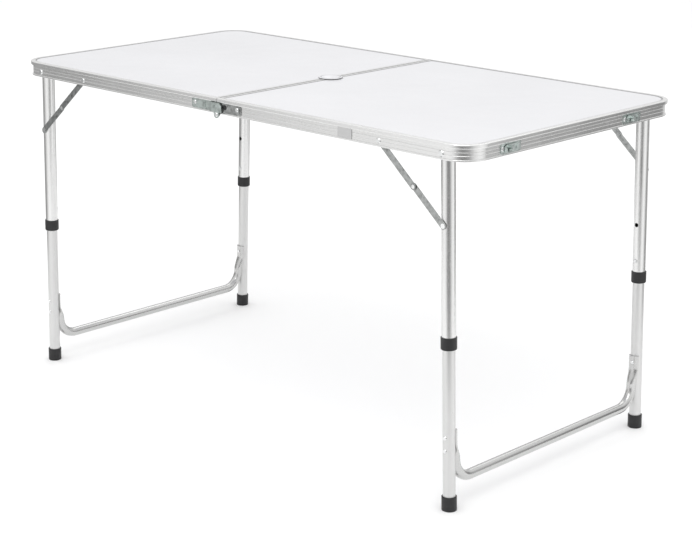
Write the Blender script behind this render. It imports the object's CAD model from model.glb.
"""The looks of a folding camping table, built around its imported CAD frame."""

import math

import bmesh
import bpy
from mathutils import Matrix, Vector


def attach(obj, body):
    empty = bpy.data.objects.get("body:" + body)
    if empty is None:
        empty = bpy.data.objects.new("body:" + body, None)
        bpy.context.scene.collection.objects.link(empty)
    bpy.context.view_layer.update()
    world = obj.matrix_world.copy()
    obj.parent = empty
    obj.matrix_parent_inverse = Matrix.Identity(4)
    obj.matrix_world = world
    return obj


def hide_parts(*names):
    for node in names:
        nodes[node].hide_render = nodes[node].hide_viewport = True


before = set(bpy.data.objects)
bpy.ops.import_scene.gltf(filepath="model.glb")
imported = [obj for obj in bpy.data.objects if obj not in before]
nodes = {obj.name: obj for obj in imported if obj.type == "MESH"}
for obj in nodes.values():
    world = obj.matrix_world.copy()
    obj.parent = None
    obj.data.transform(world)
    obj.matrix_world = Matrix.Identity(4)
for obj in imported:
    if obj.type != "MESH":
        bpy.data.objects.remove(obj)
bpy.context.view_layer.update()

SIDES = (("left", -1), ("right", 1))
DEPTHS = (("front", -1), ("back", 1))
MM = 0.001

EVEN = (1, 1, 1)
FINE_BUMP = 0.0001
LAMINATE_BUMP = 0.0002
STREAK_CONTRAST = 0.06

# Sockets of a colour Mix node
MIX_A = 6
MIX_B = 7
MIX_RESULT = 2


# ---- materials ----


def new_material(name, color, metallic=0.0, roughness=0.5, coat=0.0):
    """A node material and its Principled shader; values that don't vary are set on the shader."""
    material = bpy.data.materials.new(name)
    material.use_nodes = True
    shader = material.node_tree.nodes["Principled BSDF"]
    shader.inputs["Base Color"].default_value = (*color, 1)
    shader.inputs["Metallic"].default_value = metallic
    shader.inputs["Roughness"].default_value = roughness
    shader.inputs["Coat Weight"].default_value = coat
    shader.inputs["IOR"].default_value = 1.5
    material.diffuse_color = (*color, 1)
    return material, shader


def node(material, kind, **inputs):
    """A new node whose named inputs are set; an underscore stands for a space."""
    made = material.node_tree.nodes.new(kind)
    for key, value in inputs.items():
        made.inputs[key.replace("_", " ")].default_value = value
    return made


def link(material, out, into):
    material.node_tree.links.new(out, into)


def coordinates(material, scale):
    """Object coordinates, scaled along each axis, so that a texture can run as lines."""
    place = node(material, "ShaderNodeTexCoord")
    mapping = node(material, "ShaderNodeMapping")
    mapping.inputs["Scale"].default_value = scale
    link(material, place.outputs["Object"], mapping.inputs["Vector"])
    return mapping.outputs["Vector"]


def noise(material, vector, scale, detail=3.0, roughness=0.5):
    """A noise texture's factor."""
    made = node(material, "ShaderNodeTexNoise", Scale=scale, Detail=detail, Roughness=roughness)
    link(material, vector, made.inputs["Vector"])
    return made.outputs["Fac"]


def ramp(material, factor, stops):
    """A colour ramp; stops are (place, (r, g, b))."""
    made = node(material, "ShaderNodeValToRGB")
    points = made.color_ramp.elements
    points.remove(points[1])
    points[0].position = stops[0][0]
    points[0].color = (*stops[0][1], 1)
    for place, color in stops[1:]:
        points.new(place).color = (*color, 1)
    link(material, factor, made.inputs["Fac"])
    return made.outputs["Color"]


def spread(material, factor, low, high, source=(0.3, 0.7)):
    """Turns a factor into a number between low and high."""
    made = node(material, "ShaderNodeMapRange")
    made.inputs["From Min"].default_value = source[0]
    made.inputs["From Max"].default_value = source[1]
    made.inputs["To Min"].default_value = low
    made.inputs["To Max"].default_value = high
    link(material, factor, made.inputs["Value"])
    return made.outputs["Result"]


def bump(material, shader, height, strength, distance=FINE_BUMP):
    """Bumps the shader's surface by height."""
    made = node(material, "ShaderNodeBump", Strength=strength, Distance=distance)
    link(material, height, made.inputs["Height"])
    link(material, made.outputs["Normal"], shader.inputs["Normal"])


def shade(color, factor):
    """A lighter or darker version of a colour."""
    return tuple(min(1.0, c * factor) for c in color)


def laminate():
    """White melamine: a faint cloudiness, a fine leathery grain and a soft shine."""
    color = (0.665, 0.665, 0.685)
    material, shader = new_material("white_laminate", color, roughness=0.34, coat=0.12)
    even = coordinates(material, EVEN)
    cloud = noise(material, even, 5.0, detail=4.0)
    tint = ramp(material, cloud, ((0.3, shade(color, 0.975)), (0.7, shade(color, 1.02))))
    link(material, tint, shader.inputs["Base Color"])
    shine = spread(material, noise(material, even, 22.0), 0.29, 0.39)
    link(material, shine, shader.inputs["Roughness"])
    bump(material, shader, noise(material, even, 900.0, detail=2.0), 0.18, LAMINATE_BUMP)
    return material


def metal(name, color, lines, line_scale, roughness, grain_strength=0.25):
    """Metal with fine drawn lines; lines scales the object's axes so that they run along one."""
    material, shader = new_material(name, color, metallic=1.0, roughness=roughness)
    along = coordinates(material, lines)
    even = coordinates(material, EVEN)
    streak = noise(material, along, line_scale, detail=5.0, roughness=0.65)
    cloud = noise(material, even, 14.0, detail=3.0)
    dark = shade(color, 1 - STREAK_CONTRAST)
    light = shade(color, 1 + STREAK_CONTRAST * 0.5)
    tint = ramp(material, streak, ((0.25, dark), (0.75, light)))
    link(material, tint, shader.inputs["Base Color"])
    rough = node(material, "ShaderNodeMath")
    rough.operation = "ADD"
    link(material, spread(material, streak, -0.05, 0.05), rough.inputs[0])
    base = spread(material, cloud, roughness - 0.03, roughness + 0.04)
    link(material, base, rough.inputs[1])
    link(material, rough.outputs["Value"], shader.inputs["Roughness"])
    bump(material, shader, streak, grain_strength)
    return material


def zinc(name, color, roughness=0.38, contrast=1.0, patch=45.0):
    """Zinc plate: cloudy patches, and a spangle in the surface."""
    material, shader = new_material(name, color, metallic=1.0, roughness=roughness)
    even = coordinates(material, EVEN)
    spangle = node(material, "ShaderNodeTexVoronoi", Scale=260.0)
    link(material, even, spangle.inputs["Vector"])
    cloud = noise(material, even, patch, detail=5.0, roughness=0.6)
    dark = shade(color, 1 - 0.18 * contrast)
    light = shade(color, 1 + 0.12 * contrast)
    tint = ramp(material, cloud, ((0.28, dark), (0.5, color), (0.72, light)))
    link(material, tint, shader.inputs["Base Color"])
    shine = spread(material, cloud, roughness - 0.08, roughness + 0.12)
    link(material, shine, shader.inputs["Roughness"])
    bump(material, shader, spangle.outputs["Distance"], 0.12)
    return material


def plastic(name, color, roughness):
    """Moulded plastic with a fine spark-eroded grain."""
    material, shader = new_material(name, color, roughness=roughness)
    even = coordinates(material, EVEN)
    cloud = noise(material, even, 60.0, detail=3.0)
    tint = ramp(material, cloud, ((0.3, shade(color, 0.85)), (0.7, shade(color, 1.15))))
    link(material, tint, shader.inputs["Base Color"])
    shine = spread(material, cloud, roughness - 0.06, roughness + 0.08)
    link(material, shine, shader.inputs["Roughness"])
    bump(material, shader, noise(material, even, 1400.0, detail=2.0), 0.25)
    return material


def vector_length(material, vector):
    """The length of a vector, in metres for object coordinates."""
    made = node(material, "ShaderNodeVectorMath")
    made.operation = "LENGTH"
    link(material, vector, made.inputs[0])
    return made.outputs["Value"]


def object_distance(material, across):
    """Distance in metres from the axes' origin; across scales the axes, so 0 leaves one out."""
    return vector_length(material, coordinates(material, across))


def darken_where(material, shader, factor, stops):
    """Multiplies the base colour by a grey that changes with factor."""
    before = shader.inputs["Base Color"].links[0].from_socket
    mix = node(material, "ShaderNodeMix")
    mix.data_type = "RGBA"
    mix.blend_type = "MULTIPLY"
    mix.inputs["Factor"].default_value = 1.0
    link(material, before, mix.inputs[MIX_A])
    greys = [(place, (value, value, value)) for place, value in stops]
    link(material, ramp(material, factor, greys), mix.inputs[MIX_B])
    link(material, mix.outputs[MIX_RESULT], shader.inputs["Base Color"])


# Centre of each rounded corner of the top, and the band round it that holds the seam
CORNER_X = 550 * MM
CORNER_Y = 250 * MM
SEAM_BAND = (31 * MM, 41 * MM)
SEAM_GREYS = ((0.0, 1.0), (0.62, 1.0), (0.74, 0.42), (1.0, 0.36))

TRIM_BAND = (0, 8 * MM)
TRIM_GREYS = ((0.0, 0.12), (0.16, 0.16), (0.25, 0.9), (0.8, 1.0), (1.0, 0.6))

PLUG_BAND = (0, 24 * MM)
PLUG_GREYS = (
    (0.0, 1.0), (0.74, 1.0), (0.77, 0.45), (0.82, 0.5), (0.85, 1.0), (0.93, 1.0),
    (0.965, 0.25), (1.0, 0.2),
)


def seamed_laminate():
    """The top's laminate, with the dull seam where it runs in under the rail's lip."""
    material = laminate()
    shader = material.node_tree.nodes["Principled BSDF"]
    vector = coordinates(material, (1, 1, 0))
    steps = (("ABSOLUTE", None), ("SUBTRACT", (CORNER_X, CORNER_Y, 0)), ("MAXIMUM", (0, 0, 0)))
    for operation, value in steps:
        step = node(material, "ShaderNodeVectorMath")
        step.operation = operation
        link(material, vector, step.inputs[0])
        if value is not None:
            step.inputs[1].default_value = value
        vector = step.outputs["Vector"]
    reach = spread(material, vector_length(material, vector), 0, 1, source=SEAM_BAND)
    darken_where(material, shader, reach, SEAM_GREYS)
    return material


def rolled_trim():
    """Bright trim whose rolled edge at the fold is dull and dark."""
    material = metal("edge_trim_aluminium", ALUMINIUM, ALONG_Y, 9.0, 0.30)
    shader = material.node_tree.nodes["Principled BSDF"]
    reach = spread(material, object_distance(material, (1, 0, 0)), 0, 1, source=TRIM_BAND)
    darken_where(material, shader, reach, TRIM_GREYS)
    return material


def ringed_plug():
    """Pale moulding with a shallow ring groove and a dull rim."""
    material = plastic("plug_plastic", (0.66, 0.66, 0.68), 0.45)
    shader = material.node_tree.nodes["Principled BSDF"]
    reach = spread(material, object_distance(material, (1, 1, 0)), 0, 1, source=PLUG_BAND)
    darken_where(material, shader, reach, PLUG_GREYS)
    return material


ALUMINIUM = (0.79, 0.79, 0.785)
ACROSS_HEIGHT = (0.4, 0.4, 90)
ACROSS_TUBE = (60, 60, 0.5)
ALONG_Y = (90, 0.4, 90)

rail_metal = metal("extruded_aluminium", ALUMINIUM, ACROSS_HEIGHT, 9.0, 0.27)
tube_metal = metal("drawn_aluminium_tube", ALUMINIUM, ACROSS_TUBE, 9.0, 0.24, grain_strength=0.12)
lower_metal = metal(
    "anodised_aluminium_tube", (0.68, 0.68, 0.675), ACROSS_TUBE, 9.0, 0.32, grain_strength=0.1,
)
bar_metal = metal(
    "drawn_aluminium_bar", (0.60, 0.60, 0.595), ALONG_Y, 9.0, 0.22, grain_strength=0.12,
)
trim_metal = rolled_trim()
zinc_plate = zinc("zinc_plate", (0.49, 0.54, 0.52), 0.34, contrast=2.2, patch=120.0)
zinc_catch = zinc("zinc_catch", (0.62, 0.68, 0.66), 0.30, contrast=1.8, patch=120.0)
zinc_strap = zinc("zinc_strap", (0.38, 0.39, 0.385), 0.32, contrast=2.6, patch=130.0)
rivet_steel = zinc("rivet_steel", (0.80, 0.81, 0.81), 0.20)
badge_metal = metal("blank_badge_metal", (0.64, 0.64, 0.64), ACROSS_HEIGHT, 12.0, 0.33)
black_plastic = plastic("black_plastic", (0.010, 0.010, 0.011), 0.46)
plug_plastic = ringed_plug()
top_laminate = seamed_laminate()


def material_for(name):
    """The material of a CAD node, by what its name ends with."""
    rules = (
        ("board", top_laminate), ("rail", rail_metal), ("centre_trim", trim_metal),
        ("upper_leg", tube_metal), ("lower_leg", lower_metal), ("crossbar", bar_metal),
        ("collar", black_plastic), ("foot", black_plastic), ("handle_grip", black_plastic),
        ("umbrella_plug", plug_plastic), ("badge", badge_metal),
        ("lock_button", black_plastic),
        ("rivets", rivet_steel), ("pins", rivet_steel), ("button", rivet_steel),
        ("catch_base", zinc_catch), ("catch_lever", zinc_catch),
        ("hinge_plate_right", zinc_strap), ("brace_uppers", zinc_strap),
        ("brace_lowers", zinc_strap),
    )
    for ending, material in rules:
        if name.endswith(ending):
            return material
    return zinc_plate


def smooth_by_angle(piece, angle=35.0):
    """Rounds read as round, and edges stay crisp."""
    mesh = piece.data
    mesh.polygons.foreach_set("use_smooth", [True] * len(mesh.polygons))
    mesh.set_sharp_from_angle(angle=math.radians(angle))


for name, piece in nodes.items():
    piece.data.materials.clear()
    piece.data.materials.append(material_for(name))


# ---- crossbars: a bent tube whose ends are flattened and cupped around the legs ----

SPLAY = math.radians(1.8)
PIVOT_X = 540 * MM
PIVOT_Z = 631 * MM
LEG_Y = 277 * MM
LEG_R = 11.2 * MM
LEG_LENGTH = PIVOT_Z / math.cos(SPLAY)
BAR_R = 9.25 * MM
BAR_HEIGHT = 50 * MM
BEND_R = 40 * MM
BAR_DEPTH = LEG_R + 4 * MM
STRAP_TOP = 147 * MM
STRAP_END = 124 * MM
STRAP_THICKNESS = 3 * MM
STRAP_ANGLE = math.radians(58)
STRAP_GAP = 0.1 * MM
RING = 24
RING_STEP = 2 * MM
BEND_STEPS = 16
ROUND_ANGLE = 50


def frame_point(sx, along, y, across=0.0):
    """A point of a leg frame: along the leg from its pivot, across it, and at y."""
    return Vector((
        sx * (PIVOT_X + along * math.sin(SPLAY) + across * math.cos(SPLAY)),
        y,
        PIVOT_Z - along * math.cos(SPLAY) + across * math.sin(SPLAY),
    ))


def bar_section(flatness):
    """Loop of (across, depth) points; depth runs from the leg's axis towards the other leg."""
    loop = []
    for k in range(2 * RING):
        share = k / RING if k < RING else 2 - k / RING
        turn = math.pi * (1 - share) if k < RING else -math.pi * (1 - share)
        round_point = Vector((BAR_R * math.cos(turn), BAR_DEPTH + BAR_R * math.sin(turn)))
        angle = STRAP_ANGLE * (2 * share - 1)
        radius = LEG_R + (STRAP_THICKNESS if k < RING else STRAP_GAP)
        cupped = Vector((radius * math.sin(angle), radius * math.cos(angle)))
        loop.append(round_point.lerp(cupped, flatness))
    return loop


def bar_rings(sx, sy):
    """Rings from the strap's top on one leg down to the start of the straight bar."""
    rings = []
    height = STRAP_TOP
    low = BAR_HEIGHT + BEND_R
    while height > low + 1e-6:
        ease = min(1.0, max(0.0, (height - low) / (STRAP_END - low)))
        flatness = ease * ease * (3 - 2 * ease)
        ring = [
            frame_point(sx, LEG_LENGTH - height, sy * (LEG_Y - depth), across)
            for across, depth in bar_section(flatness)
        ]
        rings.append(ring)
        height -= RING_STEP
    centre_y = LEG_Y - BAR_DEPTH - BEND_R
    for k in range(BEND_STEPS + 1):
        turn = math.pi / 2 * k / BEND_STEPS
        ring = []
        for across, depth in bar_section(0.0):
            radius = BEND_R - (depth - BAR_DEPTH)
            y = centre_y + radius * math.cos(turn)
            height_here = low - radius * math.sin(turn)
            ring.append(frame_point(sx, LEG_LENGTH - height_here, sy * y, across))
        rings.append(ring)
    return rings


def loft(name, rings):
    """A closed tube through rings of equal length."""
    shape = bmesh.new()
    rows = [[shape.verts.new(point) for point in ring] for ring in rings]
    count = len(rings[0])
    for a, b in zip(rows, rows[1:]):
        for k in range(count):
            after = (k + 1) % count
            shape.faces.new((a[k], a[after], b[after], b[k]))
    shape.faces.new(rows[0])
    shape.faces.new(list(reversed(rows[-1])))
    bmesh.ops.recalc_face_normals(shape, faces=shape.faces[:])
    mesh = bpy.data.meshes.new(name)
    shape.to_mesh(mesh)
    shape.free()
    piece = bpy.data.objects.new(name, mesh)
    bpy.context.scene.collection.objects.link(piece)
    return piece


def make_crossbar(side, sx):
    """The bent tube of one leg frame, in place of the CAD's solid bar."""
    front = bar_rings(sx, -1)
    back = bar_rings(sx, 1)
    piece = loft(side + "_crossbar_tube", front + list(reversed(back)))
    smooth_by_angle(piece, ROUND_ANGLE)
    piece.data.materials.append(bar_metal)
    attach(piece, side + "_lower_frame")
    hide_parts(side + "_crossbar")


for side, sx in SIDES:
    make_crossbar(side, sx)


# ---- bright heads on the middle rivets of the braces ----

BRACE_SPAN = 139 * MM
BRACE_DROP = 123 * MM
LINK_DIFFERENCE = 16 * MM
BRACE_RAIL_X = PIVOT_X - BRACE_SPAN
BRACE_LEG_X = PIVOT_X + BRACE_DROP * math.sin(SPLAY)
BRACE_LEG_Z = PIVOT_Z - BRACE_DROP * math.cos(SPLAY)
BRACE_LENGTH = math.hypot(BRACE_LEG_X - BRACE_RAIL_X, PIVOT_Z - BRACE_LEG_Z)
UPPER_LINK = (BRACE_LENGTH + LINK_DIFFERENCE) / 2
LINK_FACE_Y = 294.3 * MM
# Radius and rise of the head, in millimetres, from its edge to its crown
HEAD_PROFILE = ((3.6, 0.0), (3.4, 0.08), (2.7, 0.17), (1.6, 0.22), (0.4, 0.24))


def make_brace_heads(side, sx):
    """A low domed head over the front and the back middle rivet of one side's braces."""
    share = UPPER_LINK / BRACE_LENGTH
    x = BRACE_RAIL_X + (BRACE_LEG_X - BRACE_RAIL_X) * share
    z = PIVOT_Z + (BRACE_LEG_Z - PIVOT_Z) * share
    for depth, sy in DEPTHS:
        rings = []
        for radius, rise in HEAD_PROFILE:
            ring = []
            for k in range(RING):
                turn = 2 * math.pi * k / RING
                y = sy * (LINK_FACE_Y + rise * MM)
                ring.append(Vector((
                    sx * x + radius * MM * math.cos(turn), y, z + radius * MM * math.sin(turn),
                )))
            rings.append(ring)
        piece = loft(side + "_" + depth + "_brace_head", rings)
        smooth_by_angle(piece, ROUND_ANGLE)
        piece.data.materials.append(rivet_steel)
        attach(piece, side + "_brace_uppers")


for side, sx in SIDES:
    make_brace_heads(side, sx)


# ---- stage: floor, light and camera ----


def stage_plane(name, size, material):
    """A level square at the origin that only sets the stage."""
    mesh = bpy.data.meshes.new(name)
    corners = [(-size, -size, 0), (size, -size, 0), (size, size, 0), (-size, size, 0)]
    mesh.from_pydata(corners, [], [(0, 1, 2, 3)])
    mesh.materials.append(material)
    plane = bpy.data.objects.new(name, mesh)
    bpy.context.scene.collection.objects.link(plane)


def soft_light(name, place, aim, size, power):
    """A rectangular white light at place that faces aim."""
    data = bpy.data.lights.new(name, "AREA")
    data.shape = "RECTANGLE"
    data.size, data.size_y = size
    data.energy = power
    lamp = bpy.data.objects.new(name, data)
    lamp.location = place
    lamp.rotation_euler = (Vector(aim) - Vector(place)).to_track_quat("-Z", "Y").to_euler()
    bpy.context.scene.collection.objects.link(lamp)


FLOOR_HALF = 30.0
floor_material, _ = new_material("studio_floor", (0.93, 0.93, 0.93), roughness=0.9)
stage_plane("floor", FLOOR_HALF, floor_material)

world = bpy.data.worlds.new("studio")
bpy.context.scene.world = world
world.use_nodes = True
background = world.node_tree.nodes["Background"]
background.inputs["Color"].default_value = (1, 1, 1, 1)
background.inputs["Strength"].default_value = 1.05

SCREEN_LOW_R = 1.5
SCREEN_HIGH_R = 2.6
SCREEN_HEIGHT = 1.8
SCREEN_FOOT = 0.002
SCREEN_STEPS = 96
# Between these heights the screen changes to an even grey, the same all round
SCREEN_CHANGE = (0.55, 0.85)
SCREEN_UPPER = 0.85
# What the metal mirrors: brightness by direction in degrees, 0 past the right end and 90 in front
SCREEN_STOPS = (
    (-180, 0.42), (-120, 0.42), (-90, 0.80), (-66, 0.75), (-52, 0.30), (-38, 0.30),
    (-28, 0.55), (-18, 1.05), (-2, 1.15), (14, 0.85), (28, 0.36), (43, 0.22), (56, 0.34),
    (68, 0.80), (80, 1.05), (108, 1.10), (128, 0.75), (144, 0.36), (180, 0.40),
)


def mirrored_screen():
    """A round studio screen that only reflections see, with soft light and dark panels."""
    mesh = bpy.data.meshes.new("mirrored_screen")
    steps = SCREEN_STEPS
    around = [2 * math.pi * k / steps for k in range(steps)]
    low = [(SCREEN_LOW_R * math.cos(a), SCREEN_LOW_R * math.sin(a), SCREEN_FOOT) for a in around]
    high = [
        (SCREEN_HIGH_R * math.cos(a), SCREEN_HIGH_R * math.sin(a), SCREEN_HEIGHT) for a in around
    ]
    faces = [(k, (k + 1) % steps, steps + (k + 1) % steps, steps + k) for k in range(steps)]
    mesh.from_pydata(low + high, [], faces)
    material = bpy.data.materials.new("mirrored_screen")
    material.use_nodes = True
    material.node_tree.nodes.clear()
    place = node(material, "ShaderNodeTexCoord")
    axes = node(material, "ShaderNodeSeparateXYZ")
    front = node(material, "ShaderNodeMath")
    front.operation = "MULTIPLY"
    front.inputs[1].default_value = -1
    turn = node(material, "ShaderNodeMath")
    turn.operation = "ARCTAN2"
    link(material, place.outputs["Object"], axes.inputs["Vector"])
    link(material, axes.outputs["Y"], front.inputs[0])
    link(material, front.outputs["Value"], turn.inputs[0])
    link(material, axes.outputs["X"], turn.inputs[1])
    share = spread(material, turn.outputs["Value"], 0, 1, source=(-math.pi, math.pi))
    stops = [((angle + 180) / 360, (value, value, value)) for angle, value in SCREEN_STOPS]
    lift = node(material, "ShaderNodeMix")
    lift.data_type = "RGBA"
    raised = spread(material, axes.outputs["Z"], 0, 1, source=SCREEN_CHANGE)
    link(material, raised, lift.inputs["Factor"])
    link(material, ramp(material, share, stops), lift.inputs[MIX_A])
    lift.inputs[MIX_B].default_value = (SCREEN_UPPER, SCREEN_UPPER, SCREEN_UPPER, 1)
    glow = node(material, "ShaderNodeEmission")
    out = node(material, "ShaderNodeOutputMaterial")
    link(material, lift.outputs[MIX_RESULT], glow.inputs["Color"])
    link(material, glow.outputs["Emission"], out.inputs["Surface"])
    mesh.materials.append(material)
    screen = bpy.data.objects.new("mirrored_screen", mesh)
    for sight in ("camera", "diffuse", "transmission", "volume_scatter", "shadow"):
        setattr(screen, "visible_" + sight, False)
    bpy.context.scene.collection.objects.link(screen)


mirrored_screen()

LIGHT_AIM = (0, 0, 0.4)
soft_light("key", (1.5, -2.5, 4.0), LIGHT_AIM, (3.5, 3.5), 60)
soft_light("fill", (-1.5, 2.5, 4.0), LIGHT_AIM, (3.0, 3.0), 20)

CAMERA_PLACE = Vector((2.366, -2.431, 1.258))
CAMERA_AZIMUTH = math.radians(44.87)
CAMERA_ELEVATION = math.radians(16.58)

camera_data = bpy.data.cameras.new("camera")
camera_data.lens = 91.3
camera_data.sensor_width = 36.0
camera_data.shift_x = 0.0506
camera_data.clip_end = 100.0
camera = bpy.data.objects.new("camera", camera_data)
toward_camera = Vector((
    math.sin(CAMERA_AZIMUTH) * math.cos(CAMERA_ELEVATION),
    -math.cos(CAMERA_AZIMUTH) * math.cos(CAMERA_ELEVATION),
    math.sin(CAMERA_ELEVATION),
))
camera.location = CAMERA_PLACE
camera.rotation_euler = (-toward_camera).to_track_quat("-Z", "Y").to_euler()
bpy.context.scene.collection.objects.link(camera)
bpy.context.scene.camera = camera
bpy.context.scene.view_settings.view_transform = "Standard"
